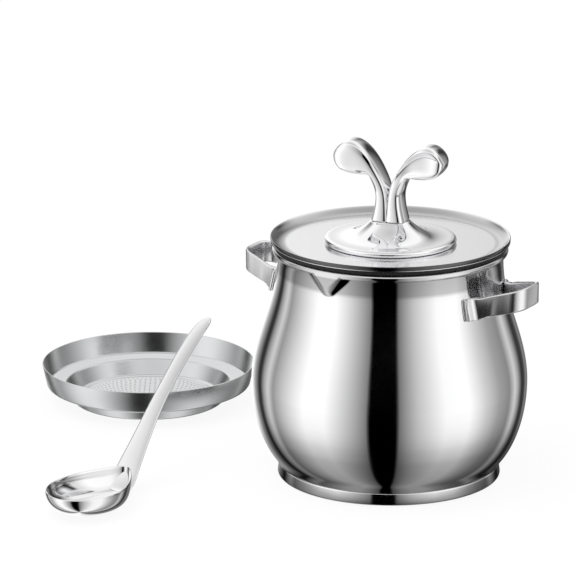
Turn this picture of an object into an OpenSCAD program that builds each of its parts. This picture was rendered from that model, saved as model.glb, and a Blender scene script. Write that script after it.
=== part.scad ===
// Bacon grease container: a polished steel pot with a lift-off lid, a lift-out
// strainer and a soup spoon. Millimetres, +Z up, origin at the middle of the
// base's underside, pouring beak towards -Y, handles at +X and -X.

/* [Pot] */
// Largest outer radius of the belly
belly_r = 69.9; // [68:0.1:72]
// Height of the widest ring of the belly
belly_z = 49.2; // [44:0.2:54]
// Step in from the base's edge to where the belly meets the base
foot_step = 3.3; // [2.8:0.1:5]
// How full the lower belly is, 2 being an ellipse
belly_fullness = 1.48; // [1.3:0.01:2]
// Outer radius of the neck
neck_r = 57; // [56:0.1:59]
// Height of the narrowest ring of the neck
neck_z = 112.4; // [108:0.2:113]
// Height of the top of the rim over the narrowest ring of the neck
mouth_h = 6.8; // [5.5:0.1:9]
// Flare of the rolled rim beyond the neck's radius
flare_w = 2.4; // [2.2:0.1:4]
// Radius of the rolled bead
bead_r = 1.6; // [1.2:0.1:2]
// Thickness of the pot's steel sheet
wall = 0.8; // [0.6:0.1:1.2]

/* [Beak] */
// Radius of the beak's rounded tip
beak_tip_r = 3.7; // [1.5:0.1:4]
// Half the opening angle of the beak's cone
beak_half_angle = 57; // [48:1:60]
// Lean of the beak's cone from the upright
beak_lean = 47.5; // [40:0.5:52]
// Depth of the tip's centre below the neck's narrowest ring
beak_drop = 4.7; // [3:0.1:7]
// Depth of the tip's centre inside the neck's radius
beak_sunk = 2.8; // [1:0.1:4]
// Turn of the beak from the front, round the pot's axis
beak_turn = -3.6; // [-8:0.2:8]

/* [Base] */
// Outer radius of the foot ring
base_r = 56.6; // [55:0.1:58]
// Height of the base under the pot's floor
base_h = 6; // [5:0.1:8]
// Thickness of the steel cap round the base
cap_wall = 0.6; // [0.4:0.1:0.8]
// Radius of the cap's lower edge
cap_edge_r = 1.2; // [0.8:0.1:2]

/* [Handles] */
// Distance of a handle's outer end from the pot's axis
handle_reach = 80.3; // [76:0.1:86]
// Height of the handle's strap
strap_h = 10.8; // [8:0.1:12]
// Thickness of the handle's strap
strap_t = 2; // [1.6:0.1:2.4]
// Half the width of a handle at its feet, outside
handle_foot_w = 18.4; // [16:0.2:20]
// Half the width of a handle at its outer end, outside
handle_end_w = 13.2; // [12:0.2:15]
// Radius of the handle's outer corners
handle_corner_r = 8.5; // [6:0.5:10]
// Rise of a handle's outer end over its feet
handle_rise = 5.6; // [3:0.1:8]
// Depth of the middle of the handle's feet below the neck's narrowest ring
handle_drop = 14; // [13:0.2:18]
// Width of a foot tab along the wall
tab_w = 5.5; // [4:0.5:7]
// Thickness of a foot tab
tab_t = 1.4; // [1:0.1:1.8]
// Radius of a foot tab's corners
tab_corner_r = 2; // [1:0.1:3]

/* [Lid] */
// Overhang of the lid's edge beyond the rim
lid_over = 1; // [0.5:0.1:2]
// Width of the lid's turned-up edge, seen from above
turn_up_w = 7.4; // [6:0.1:9]
// Height of the lid's edge above its flat middle
lid_rise = 3.65; // [3:0.05:5]
// Height of the lid's folded edge
hem_h = 2.8; // [2:0.1:3.2]
// Thickness of the lid's sheet
lid_t = 0.8; // [0.6:0.1:1]

/* [Seal] */
// Step in from the lid's flat middle to the seal's skirt
ring_inset = 1; // [0.6:0.1:3]
// Depth of the seal's skirt under the lid
ring_h = 6; // [4:0.5:8]
// Thickness of the seal's skirt
ring_t = 0.8; // [0.6:0.1:1.2]
// Thickness of the seal where it lies between lid and rim
seal_t = 0.75; // [0.5:0.05:1.5]

/* [Knob] */
// Outer radius of the knob's flange
flange_r = 33.3; // [30:0.1:36]
// Thickness of the flange's rim
flange_edge = 3; // [2:0.1:3.4]
// Radius of the flange's top, where the stem stands
flange_top_r = 9.6; // [8.8:0.1:11]
// Height of the flange over the lid
flange_h = 11.4; // [10:0.2:14]
// Skin of the flange over the hollow below
flange_skin = 2.4; // [2:0.1:3]
// Turn of the sprout on the lid
sprout_turn = 8; // [-20:1:20]
// Reach of a leaf's tip from the knob's axis
leaf_reach = 28.7; // [27:0.1:33]
// Height of a leaf's crown over the flange's top
leaf_h = 40.4; // [36:0.2:44]
// Depth of a leaf's blade, front to back
blade_w = 17; // [14:0.5:20]
// Depth of each stalk, front to back
stalk_w = 13; // [12:0.5:15]
// Roundness of a leaf's section, 1 being an ellipse and 0 a rectangle
leaf_round = 0.55; // [0.4:0.05:1]

/* [Knob screw] */
// Shank diameter of the knob's screw
screw_d = 4.8; // [4:0.1:5]
// Head diameter of the knob's screw
screw_head_d = 9; // [8:0.1:10]
// Head height of the knob's screw
screw_head_h = 3; // [2.4:0.1:3.4]
// Length of the screw in the stem
screw_bite = 9; // [6:0.5:10]
// Outer diameter of the washer
washer_d = 14; // [12:0.5:16]
// Thickness of the washer
washer_t = 1; // [0.8:0.1:1.4]

/* [Strainer] */
// Reach of the strainer's top edge over the rim, beyond the mouth's radius
strainer_over = 0.8; // [0.4:0.1:1.6]
// Step in from the top edge to the strainer's wall at its ledge
ledge_step = 2.4; // [1.6:0.1:4]
// Depth of the strainer's upper wall
ledge_drop = 11.4; // [9:0.1:14]
// Width of the ledge
ledge_w = 9.9; // [8:0.1:12]
// Depth of the basin
basin_drop = 9; // [7:0.1:11]
// Step in from the basin's top to its floor
basin_slope = 3.9; // [2:0.1:6]
// Thickness of the strainer's sheet
sieve_t = 0.7; // [0.5:0.1:0.9]
// Width of the basin's floor round the perforated disc
sieve_rim = 4.3; // [3:0.1:6]
// Diameter of a sieve hole
hole_d = 1.2; // [0.9:0.05:1.3]
// Spacing of the rings of holes
hole_pitch = 2.65; // [2.5:0.05:2.7]
// Width of the disc's edge without holes
hole_margin = 1.4; // [1.2:0.1:4]
// Room between the strainer and the handle beside it
strainer_apart = 34.7; // [20:0.1:60]
// Place of the strainer beside the pot, front to back
strainer_y = 45; // [35:1:80]

/* [Spoon] */
// Length of the spoon's bowl
bowl_l = 62; // [56:1:68]
// Width of the bowl
bowl_w = 38; // [32:1:44]
// Depth of the bowl outside
bowl_h = 13; // [10:0.5:16]
// Length of the bowl's flat floor
floor_l = 30; // [26:0.5:34]
// Width of the bowl's flat floor
floor_w = 15; // [12:0.5:18]
// Thickness of the spoon's bowl
spoon_t = 1.2; // [1:0.1:1.6]
// Run of the handle from the bowl to its tip, along the table
stem_run = 80; // [70:1:90]
// Height of the handle's tip
stem_rise = 70; // [60:1:80]
// Width of the spoon's handle
stem_w = 8.5; // [7:0.1:10]
// Thickness of the spoon's handle
stem_t = 2; // [1.6:0.1:2.6]
// Place of the bowl's tip, across
spoon_x = -99; // [-110:1:-97]
// Place of the bowl's tip, front to back
spoon_y = -155; // [-175:1:-150]

/* [Clearances] */
// Gap between pieces that are welded, crimped or screwed together
seam_gap = 0.1; // [0.05:0.01:0.2]
// Gap between pieces that lift apart
lift_gap = 0.3; // [0.25:0.05:0.5]
// Radial room round the screw's shank
bore_room = 0.3; // [0.2:0.05:0.5]

/* [Hidden] */
$fn = 96;

steel = "#c9ccd0";
dark_steel = "#9b9fa4";
aluminium = "#b9bbbd";
satin = "#b4b7bb";
black = "#1c1d1f";

// Points on an arc round (cx, cy) from angle a0 to a1
function arc(cx, cy, r, a0, a1, steps) = [
    for (i = [0:steps]) let (a = a0 + (a1 - a0) * i / steps) [cx + r * cos(a), cy + r * sin(a)]
];

function reversed(list) = [for (i = [len(list) - 1:-1:0]) list[i]];

// ---- Pot profile: belly, S-shaped shoulder, neck and flared mouth ----

rim_r = neck_r + flare_w;
rim_z = neck_z + mouth_h;
flare_r = rim_r - bead_r;
flare_z = rim_z - bead_r;
foot_r = base_r - foot_step;
belly_steps = 16;
shoulder_steps = 18;
mouth_steps = 4;

function belly_at(z) = foot_r + (belly_r - foot_r)
    * pow(max(0, 1 - pow((belly_z - z) / (belly_z - base_h), 2)), 1 / belly_fullness);
function shoulder_at(z) = neck_r + (belly_r - neck_r)
    * (1 + cos(180 * (z - belly_z) / (neck_z - belly_z))) / 2;
function mouth_at(z) = neck_r + (flare_r - neck_r) * pow((z - neck_z) / (flare_z - neck_z), 2);
function pot_r(z) = z < belly_z ? belly_at(z) : z < neck_z ? shoulder_at(z) : mouth_at(z);

belly_zs = [for (i = [0:belly_steps]) base_h + (belly_z - base_h) * (1 - cos(90 * i / belly_steps))];
shoulder_zs = [for (i = [1:shoulder_steps]) belly_z + (neck_z - belly_z) * i / shoulder_steps];
mouth_zs = [for (i = [1:mouth_steps]) neck_z + (flare_z - neck_z) * i / mouth_steps];
pot_line = [for (z = concat(belly_zs, shoulder_zs, mouth_zs)) [pot_r(z), z]];

// Unit normal that points away from the pot's wall at point i of a line
function line_normal(line, i) = let (
    a = line[max(i - 1, 0)],
    b = line[min(i + 1, len(line) - 1)],
    d = b - a
) [d[1], -d[0]] / norm(d);

// The line moved inwards by a distance, clipped at the height of the floor
function moved_in(line, distance, floor_z) = [
    for (i = [0:len(line) - 1]) let (p = line[i] - distance * line_normal(line, i)) [p[0], max(p[1], floor_z)]
];

floor_top = base_h + wall;
pot_inside = moved_in(pot_line, wall, floor_top);
mouth_inner_r = flare_r - bead_r;

module pot_solid(line, bottom_z) {
    rotate_extrude() polygon(concat([[0, bottom_z]], line, [[0, line[len(line) - 1][1]]]));
}

// A cone with a round tip, low at the wall, which opens towards the mouth
module beak_cone(inset) {
    cone_l = 12;
    tip = beak_tip_r - inset;
    intersection() {
        rotate([0, 0, beak_turn]) translate([0, beak_sunk - neck_r, neck_z - beak_drop]) rotate([-beak_lean, 0, 0])
            rotate_extrude() polygon(concat(arc(0, 0, tip, -90, -beak_half_angle, 3),
                [[(tip + cone_l * sin(beak_half_angle)) / cos(beak_half_angle), cone_l], [0, cone_l]]));
        translate([0, 0, neck_z - neck_r / 2]) cylinder(h = flare_z - neck_z + neck_r / 2, r = rim_r - inset);
    }
}

module pot_shell() {
    color(steel) difference() {
        union() {
            pot_solid(pot_line, base_h);
            rotate_extrude() translate([flare_r, flare_z]) circle(r = bead_r, $fn = 40);
            beak_cone(0);
        }
        pot_solid(concat(pot_inside, [[mouth_inner_r + bead_r - wall, rim_z + wall]]), floor_top);
        beak_cone(wall);
    }
}

// ---- Base: a steel cap crimped round an aluminium disc ----

module base_core() {
    core_r = base_r - cap_wall - seam_gap;
    color(aluminium) {
        translate([0, 0, cap_wall])
            cylinder(h = base_h - 2 * cap_wall - seam_gap, r1 = core_r - cap_edge_r, r2 = core_r);
        translate([0, 0, cap_wall]) cylinder(h = base_h - cap_wall, r = foot_r - 2 * cap_wall);
    }
}

module base_cap() {
    lip_r = foot_r - cap_wall;
    outside = concat([[0, 0]], arc(base_r - cap_edge_r, cap_edge_r, cap_edge_r, -90, 0, 6),
        arc(base_r - cap_wall, base_h - cap_wall, cap_wall, 0, 90, 4), [[lip_r, base_h]]);
    inside = [[lip_r, base_h - cap_wall], [base_r - cap_wall, base_h - cap_wall],
        [base_r - cap_wall, cap_edge_r], [base_r - cap_edge_r - cap_wall / 2, cap_wall], [0, cap_wall]];
    color(steel) rotate_extrude() polygon(concat(outside, inside));
}

// ---- Handles: an upright strap bent in a loop, with two foot tabs welded to the neck ----

handle_z = neck_z - handle_drop;

// One side of the loop's outline, from the foot to the middle of the end
function loop_side(inset) = concat(
    [[neck_r - tab_w, handle_foot_w - inset]],
    [[neck_r + tab_t, handle_foot_w - inset]],
    arc(handle_reach - handle_corner_r, handle_end_w - handle_corner_r, handle_corner_r - inset, 80, 0, 8)
);
function mirrored_y(list) = [for (p = reversed(list)) [p[0], -p[1]]];

// The strap seen from the side: upright edges, rising from the feet to the end
function strap_side(x) = handle_z + handle_rise * (x - neck_r) / (handle_reach - neck_r);

module handle_loop() {
    outer = concat(loop_side(0), mirrored_y(loop_side(0)));
    inner = concat(loop_side(strap_t), mirrored_y(loop_side(strap_t)));
    x0 = neck_r - tab_w;
    x1 = handle_reach + strap_t;
    half = strap_h / 2;
    intersection() {
        translate([0, 0, handle_z - strap_h]) linear_extrude(height = 2 * strap_h + handle_rise) difference() {
            polygon(outer);
            translate([-strap_t, 0]) polygon([for (p = inner) p[0] < neck_r ? p - [strap_h, 0] : p + [strap_t, 0]]);
        }
        rotate([90, 0, 0]) linear_extrude(height = 4 * handle_foot_w, center = true) polygon([
            [x0, strap_side(x0) - half], [x1, strap_side(x1) - half],
            [x1, strap_side(x1) + half], [x0, strap_side(x0) + half]
        ]);
    }
}

tab_low = handle_z - strap_h / 2;
wall_steps = 5;

// The wall's outline over a stretch of height, moved outwards by a distance
function wall_line(z_low, z_high, out) = [
    for (i = [0:wall_steps]) let (z = z_low + (z_high - z_low) * i / wall_steps) [pot_r(z) + out, z]
];

// A solid of revolution under the wall's outline over a stretch of height
module wall_plug(z_low, z_high, out) {
    rotate_extrude() polygon(concat([[0, z_low]], wall_line(z_low, z_high, out), [[0, z_high]]));
}

module foot_tab() {
    y0 = handle_foot_w - strap_t / 2;
    y1 = handle_foot_w + tab_w;
    c = tab_corner_r;
    intersection() {
        wall_plug(tab_low, tab_low + strap_h, seam_gap + tab_t);
        translate([neck_r / 2, 0, tab_low]) rotate([90, 0, 90]) linear_extrude(height = belly_r)
            polygon(concat([[y0, 0]], arc(y1 - c, c, c, -90, 0, 4),
                arc(y1 - c, strap_h - c, c, 0, 90, 4), [[y0, strap_h]]));
    }
}

module right_handle() {
    color(steel) difference() {
        union() {
            handle_loop();
            foot_tab();
            mirror([0, 1, 0]) foot_tab();
        }
        wall_plug(handle_z - 2 * strap_h, min(handle_z + 2 * strap_h, flare_z), seam_gap);
    }
}

module left_handle() {
    rotate([0, 0, 180]) right_handle();
}

// ---- Lid: a sheet turned up and folded down at its edge, with a seal under it ----

lid_r = rim_r + lid_over;
lid_flat_r = lid_r - turn_up_w;
lid_z = rim_z + lift_gap + seal_t + lid_t;
hem_z = lid_z + lid_rise - hem_h;
screw_hole_r = screw_d / 2 + bore_room;

// Height of the lid's upper face over its flat middle, at a radius
turn_up_r = (pow(lid_r - lid_flat_r, 2) + pow(lid_rise, 2)) / (2 * lid_rise);
function turn_up(r) = r < lid_flat_r ? 0 : turn_up_r - sqrt(pow(turn_up_r, 2) - pow(r - lid_flat_r, 2));

lid_steps = 8;
lid_top = [for (i = [0:lid_steps]) let (r = lid_flat_r + (lid_r - lid_flat_r) * i / lid_steps)
    [r, lid_z + turn_up(r)]];
lid_offset = [for (i = [0:lid_steps]) lid_top[i] + lid_t * line_normal(lid_top, i)];
// The lid's underside from the screw to the folded edge
lid_under = concat([[screw_hole_r, lid_z - lid_t]], [for (p = lid_offset) if (p[0] < lid_r - 2 * lid_t) p],
    [[lid_r - lid_t, hem_z]]);

module lid_pan() {
    color(steel) rotate_extrude()
        polygon(concat([[screw_hole_r, lid_z]], lid_top, [[lid_r, hem_z]], reversed(lid_under)));
}

ring_r = lid_flat_r - ring_inset;
seal_r = lid_r - 2 * lid_t;

module lid_seal() {
    skirt_z = lid_z - lid_t - ring_h;
    seal_top = concat([for (p = lid_under) if (p[0] >= lid_flat_r && p[0] < seal_r) p - [0, seam_gap]],
        [[seal_r, lookup(seal_r, lid_under) - seam_gap]]);
    color(black) rotate_extrude() polygon(concat([[ring_r - ring_t, skirt_z], [ring_r, skirt_z],
        [ring_r, lid_z - lid_t - seal_t], [seal_r, lid_z - lid_t - seal_t]], reversed(seal_top),
        [[ring_r, lid_z - lid_t], [ring_r - ring_t, lid_z - lid_t]]));
}

// ---- Knob: trumpet flange, sprout, screw and washer ----

flange_top = lid_z + flange_h;
flange_steps = 12;

// Height of the trumpet over the lid at a radius
function trumpet(r) = flange_edge + (flange_h - flange_edge)
    * pow((flange_r - flange_edge - r) / (flange_r - flange_edge - flange_top_r), 2.6);

module knob_flange() {
    brim_r = flange_r - flange_edge / 2;
    rs = [for (i = [0:flange_steps]) (flange_r - flange_edge) + (flange_top_r - flange_r + flange_edge) * i / flange_steps];
    top = [for (r = rs) [r, trumpet(r)]];
    boss_r = screw_hole_r + flange_skin;
    hollow_rs = [for (i = [1:flange_steps]) if (rs[i] - flange_skin > boss_r) rs[i] - flange_skin];
    hollow = concat([[boss_r, 0], [flange_r - flange_edge - flange_skin, 0]],
        [for (r = hollow_rs) [r, max(trumpet(r + flange_skin) - flange_skin, 0.1)]], [[boss_r, flange_h - 2 * flange_skin]]);
    color(steel) translate([0, 0, lid_z]) rotate_extrude() difference() {
        polygon(concat([[screw_hole_r, 0]], arc(brim_r, flange_edge / 2, flange_edge / 2, -90, 90, 8), top,
            [[screw_hole_r, flange_h]]));
        polygon(hollow);
    }
}

// A ring of points round a centre in the leaf's plane: tall along n, wide along y
ring_sides = 24;
function leaf_ring(c, n, h, w, round_off) = [
    for (k = [0:ring_sides - 1]) let (a = 360 * k / ring_sides, s = sin(a), q = cos(a))
        [c[0], 0, c[1]] + [n[0], 0, n[1]] * h * sign(q) * pow(abs(q), round_off)
            + [0, 1, 0] * w * sign(s) * pow(abs(s), round_off)
];

// A closed skin over equal rings, capped at both ends
module skin(rings) {
    sides = len(rings[0]);
    last = len(rings) - 1;
    points = [for (ring = rings) for (p = ring) p];
    side_faces = [for (i = [0:last - 1]) for (k = [0:sides - 1]) let (m = (k + 1) % sides)
        each [[i * sides + k, (i + 1) * sides + k, (i + 1) * sides + m], [i * sides + k, (i + 1) * sides + m, i * sides + m]]];
    polyhedron(points, concat(side_faces, [[for (k = [0:sides - 1]) k]],
        [[for (k = [sides - 1:-1:0]) last * sides + k]]));
}

// Upper and lower line of a leaf from its foot to its tip, as shares of its reach and height
leaf_upper = [
    [-0.05, 0], [-0.025, 0.16], [-0.01, 0.3], [0.02, 0.41], [0.065, 0.5], [0.15, 0.61], [0.255, 0.735], [0.37, 0.85],
    [0.51, 0.945], [0.67, 1], [0.82, 0.98], [0.935, 0.91], [0.985, 0.835], [1, 0.8]
];
leaf_lower = [
    [0.31, 0], [0.25, 0.16], [0.227, 0.3], [0.24, 0.38], [0.278, 0.46], [0.325, 0.55], [0.365, 0.605], [0.44, 0.61],
    [0.545, 0.613], [0.66, 0.62], [0.785, 0.63], [0.885, 0.66], [0.96, 0.73], [0.993, 0.77]
];
// Depth of a leaf from its foot to its tip, front to back
leaf_deep = concat(stalk_w * [1.1, 1, 0.98, 1, 1.06], blade_w * [0.89, 0.96, 0.99, 1, 1, 0.99, 0.93, 0.76, 0.35]);
function leaf_point(share) = [share[0] * leaf_reach, share[1] * leaf_h];

module leaf() {
    skin([for (i = [0:len(leaf_deep) - 1]) let (
        up = leaf_point(leaf_upper[i]),
        low = leaf_point(leaf_lower[i])
    ) leaf_ring((up + low) / 2, (low - up) / norm(low - up), norm(low - up) / 2, leaf_deep[i] / 2, leaf_round)]);
}

bite_room = 1;
module sprout_knob() {
    core_r = stalk_w * 0.37;
    color(steel) translate([0, 0, flange_top + seam_gap]) rotate([0, 0, sprout_turn]) difference() {
        union() {
            leaf();
            rotate([0, 0, 180]) leaf();
            cylinder(h = screw_bite + 3, r = core_r, $fn = 48);
        }
        translate([0, 0, -1]) cylinder(h = screw_bite + bite_room + 1, r = screw_d / 2 + seam_gap, $fn = 48);
    }
}

screw_head_z = lid_z - lid_t - seam_gap - washer_t - seam_gap;

module knob_screw() {
    color(dark_steel) {
        translate([0, 0, screw_head_z - screw_head_h]) difference() {
            cylinder(h = screw_head_h, r = screw_head_d / 2, $fn = 48);
            translate([0, 0, -1]) cylinder(h = screw_head_h * 0.6 + 1, r = screw_d * 0.35, $fn = 6);
        }
        translate([0, 0, screw_head_z]) cylinder(h = flange_top + screw_bite - screw_head_z, r = screw_d / 2, $fn = 48);
    }
}

module knob_washer() {
    color(dark_steel) translate([0, 0, lid_z - lid_t - seam_gap - washer_t]) difference() {
        cylinder(h = washer_t, r = washer_d / 2, $fn = 64);
        translate([0, 0, -1]) cylinder(h = washer_t + 2, r = screw_hole_r, $fn = 48);
    }
}

// ---- Strainer ----

strainer_h = ledge_drop + basin_drop;
ledge_z = basin_drop;
strainer_r = mouth_inner_r + strainer_over;
ledge_r = strainer_r - ledge_step;
basin_top_r = ledge_r - ledge_w;
basin_floor_r = basin_top_r - basin_slope;
sieve_r = basin_floor_r - sieve_rim;
hole_rings = floor((sieve_r - hole_margin) / hole_pitch);
strainer_x = -(handle_reach + strainer_apart + strainer_r);

module strainer_pan() {
    outer_line = [[sieve_r + seam_gap, 0], [basin_floor_r, 0], [basin_top_r, ledge_z - sieve_t],
        [ledge_r, ledge_z - sieve_t], [strainer_r, strainer_h]];
    inner_line = [[strainer_r - sieve_t, strainer_h], [ledge_r - sieve_t, ledge_z],
        [basin_top_r - sieve_t, ledge_z], [basin_floor_r - sieve_t, sieve_t], [sieve_r + seam_gap, sieve_t]];
    color(satin) translate([strainer_x, strainer_y, 0]) rotate_extrude() polygon(concat(outer_line, inner_line));
}

// Number of holes in a ring: six more in each ring, and the last ring closer
function holes_in(ring) = ring == 0 ? 1 : ring == hole_rings ? 7 * ring - 1 : 6 * ring;

module strainer_plate() {
    color(satin) translate([strainer_x, strainer_y, 0]) linear_extrude(height = sieve_t) difference() {
        circle(r = sieve_r);
        for (ring = [0:hole_rings]) for (i = [0:holes_in(ring) - 1])
            rotate(360 * i / holes_in(ring)) translate([ring * hole_pitch, 0]) circle(d = hole_d, $fn = 16);
    }
}

// ---- Spoon: a teardrop bowl with a flat floor and a rising handle ----

bowl_sides = 36;
floor_mid = bowl_l * 0.62;

// Outline of the bowl at its rim, pointed towards the handle
function teardrop(a, inset) = let (
    x = bowl_l / 2 - (bowl_l / 2 - inset) * cos(a),
    taper = 1 - 0.62 * pow(x / bowl_l, 2.2)
) [x, (inset - bowl_w / 2) * sin(a) * taper * 1.12];
function floor_oval(a, inset) = [floor_mid - (floor_l / 2 - inset) * cos(a), (inset - floor_w / 2) * sin(a)];

// A ring of the bowl between its floor and its rim, share 0 to 1
function bowl_ring(share, inset, lift) = [
    for (k = [0:bowl_sides - 1]) let (
        a = 360 * k / bowl_sides,
        p = floor_oval(a, inset) * (1 - share) + teardrop(a, inset) * share,
        z = lift + (bowl_h - lift) * (1 - sqrt(max(0, 1 - pow(share, 2.4))))
    ) [p[0], p[1], z]
];
bowl_shares = [0, 0.25, 0.45, 0.62, 0.76, 0.87, 0.95, 1];

module spoon_bowl() {
    outer = [for (s = bowl_shares) bowl_ring(s, 0, 0)];
    inner = [for (s = reversed(bowl_shares)) bowl_ring(s, spoon_t, spoon_t)];
    skin(concat(outer, inner));
}

stem_path = [
    [bowl_l * 0.84, spoon_t * 1.6], [bowl_l * 0.93, bowl_h * 0.42], [bowl_l + 1, bowl_h * 0.9],
    [bowl_l + stem_run * 0.15, bowl_h + stem_rise * 0.13], [bowl_l + stem_run * 0.32, bowl_h + stem_rise * 0.32],
    [bowl_l + stem_run * 0.5, stem_rise * 0.665], [bowl_l + stem_run * 0.68, stem_rise * 0.815],
    [bowl_l + stem_run * 0.86, stem_rise * 0.935], [bowl_l + stem_run * 0.96, stem_rise * 0.985],
    [bowl_l + stem_run, stem_rise]
];
stem_round = 0.8;
stem_half_w = [0.9, 0.85, 0.8, 0.62, 0.5, 0.46, 0.48, 0.5, 0.42, 0.2];

module spoon_stem() {
    skin([for (i = [0:len(stem_path) - 1])
        leaf_ring(stem_path[i], line_normal(stem_path, i), stem_t / 2, stem_w * stem_half_w[i], stem_round)]);
}

module spoon() {
    color(steel) translate([spoon_x, spoon_y, 0]) rotate([0, 0, 90]) {
        spoon_bowl();
        spoon_stem();
    }
}

pot_shell();
base_core();
base_cap();
left_handle();
right_handle();
lid_pan();
lid_seal();
knob_flange();
sprout_knob();
knob_screw();
knob_washer();
strainer_pan();
strainer_plate();
spoon();
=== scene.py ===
"""Looks of a bacon grease container: polished pot, lid with a sprout knob, strainer and spoon.

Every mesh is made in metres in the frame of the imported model: +Z up, the pot's base on z = 0,
the pouring beak towards -Y and the handles at +X and -X.
"""

import logging
import math
from collections.abc import Sequence
from dataclasses import dataclass, field
from enum import Enum

import bmesh
import bpy
from bmesh.types import BMEdge, BMesh, BMVert
from bpy.types import Material, Node, NodeSocket, NodeTree, Object
from mathutils import Matrix, Vector


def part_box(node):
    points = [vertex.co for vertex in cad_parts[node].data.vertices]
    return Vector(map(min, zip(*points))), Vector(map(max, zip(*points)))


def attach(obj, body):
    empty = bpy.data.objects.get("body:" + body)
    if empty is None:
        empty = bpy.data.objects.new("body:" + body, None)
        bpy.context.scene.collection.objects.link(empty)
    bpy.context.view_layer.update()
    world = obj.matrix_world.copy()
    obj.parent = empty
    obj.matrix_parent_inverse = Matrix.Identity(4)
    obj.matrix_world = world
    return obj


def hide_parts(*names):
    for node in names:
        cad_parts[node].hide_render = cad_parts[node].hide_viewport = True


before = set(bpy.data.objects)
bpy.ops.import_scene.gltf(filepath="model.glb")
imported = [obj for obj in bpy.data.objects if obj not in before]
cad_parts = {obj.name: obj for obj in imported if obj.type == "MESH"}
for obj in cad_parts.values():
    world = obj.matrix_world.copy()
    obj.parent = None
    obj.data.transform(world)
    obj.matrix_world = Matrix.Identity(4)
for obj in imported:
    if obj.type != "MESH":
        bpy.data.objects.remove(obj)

MM = 0.001
DEGREE = math.pi / 180
FULL_TURN = 2 * math.pi
WHITE = (1.0, 1.0, 1.0, 1.0)
LOG = logging.getLogger("grease_container")

Pair = tuple[float, float]
Profile = list[Pair]
Stops = tuple[Pair, ...]


class Body(Enum):
    """The bodies that pieces ride on."""

    POT = "pot"
    LID = "lid"
    STRAINER = "strainer"
    SPOON = "spoon"


class Finish(Enum):
    """The record's material slots that the rebuilt pieces take."""

    POLISHED_STEEL = "polished_steel"
    SATIN_STEEL = "satin_steel"
    KNOB_CHROME = "knob_chrome"
    SEAL_SILICONE = "seal_silicone"


class Along(Enum):
    """What a change of brightness follows."""

    RADIUS = "radius"
    HEIGHT = "height"


# -------- colours and nodes


def linear(hex_colour: str) -> tuple[float, float, float, float]:
    """Turns an sRGB hex value into a linear colour.

    Args:
        hex_colour: six hex digits after a hash sign.

    Returns:
        Red, green, blue and an alpha of 1.
    """
    channels = [int(hex_colour[i : i + 2], 16) / 255 for i in (1, 3, 5)]
    levels = [c / 12.92 if c <= 0.04045 else ((c + 0.055) / 1.055) ** 2.4 for c in channels]
    return (*levels, 1.0)


def add_node(
    tree: NodeTree,
    kind: str,
    settings: dict[str, object] | None = None,
    inputs: dict[str | int, object] | None = None,
) -> Node:
    """Adds a node, sets its properties, and fills or links its inputs.

    Args:
        tree: the node tree that gets the node.
        kind: the node's type name after ShaderNode.
        settings: properties of the node.
        inputs: for each input's name or index, a value, a socket to link from, or a node whose first
            output is linked.

    Returns:
        The new node.
    """
    node = tree.nodes.new("ShaderNode" + kind)
    for name, value in (settings or {}).items():
        setattr(node, name, value)
    for key, value in (inputs or {}).items():
        if isinstance(value, Node):
            value = value.outputs[0]
        if isinstance(value, NodeSocket):
            tree.links.new(value, node.inputs[key])
        else:
            node.inputs[key].default_value = value
    return node


def empty_material(label: str) -> Material:
    """Makes a material whose nodes are still to be added.

    Args:
        label: its name.

    Returns:
        The material.
    """
    material = bpy.data.materials.new(label)
    material.use_nodes = True
    material.node_tree.nodes.clear()
    return material


def axis_distance(tree: NodeTree, place: NodeSocket | Node) -> NodeSocket:
    """Reads how far a place lies from the Z axis."""
    flat = add_node(tree, "VectorMath", {"operation": "MULTIPLY"}, {0: place, 1: (1.0, 1.0, 0.0)})
    return add_node(tree, "VectorMath", {"operation": "LENGTH"}, {0: flat}).outputs["Value"]


def grey_ramp(tree: NodeTree, reading: NodeSocket | Node, stops: Stops, unit: float) -> Node:
    """Turns a reading into a brightness that changes evenly from stop to stop.

    Args:
        tree: the nodes of the material or the world.
        reading: the value that the ramp reads.
        stops: place and brightness of each stop, by rising place.
        unit: what one unit of place is in the reading.

    Returns:
        The ramp, which gives the brightness.
    """
    low, high = stops[0][0], stops[-1][0]
    limits = {"Value": reading, "From Min": low * unit, "From Max": high * unit}
    ramp = add_node(tree, "ValToRGB", inputs={"Fac": add_node(tree, "MapRange", inputs=limits)})
    elements = ramp.color_ramp.elements
    while len(elements) < len(stops):
        elements.new(1.0)
    for element, (spot, level) in zip(elements, stops):
        element.position = (spot - low) / (high - low)
        element.color = (level, level, level, 1.0)
    return ramp


# -------- finishes


@dataclass(frozen=True)
class PaintedShade:
    """Painted shade: a change of brightness painted into a colour, standing in for shade and darker
    reflections.
    """

    along: Along
    stops: Stops

    def build(self, tree: NodeTree, place: NodeSocket) -> Node:
        """Makes the painted shade.

        Args:
            tree: the material's nodes.
            place: the coordinates that it reads.

        Returns:
            The ramp, which gives 1 where the colour stays as it is.
        """
        if self.along is Along.RADIUS:
            reading = axis_distance(tree, place)
        else:
            reading = add_node(tree, "SeparateXYZ", inputs={"Vector": place}).outputs["Z"]
        return grey_ramp(tree, reading, self.stops, MM)


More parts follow.
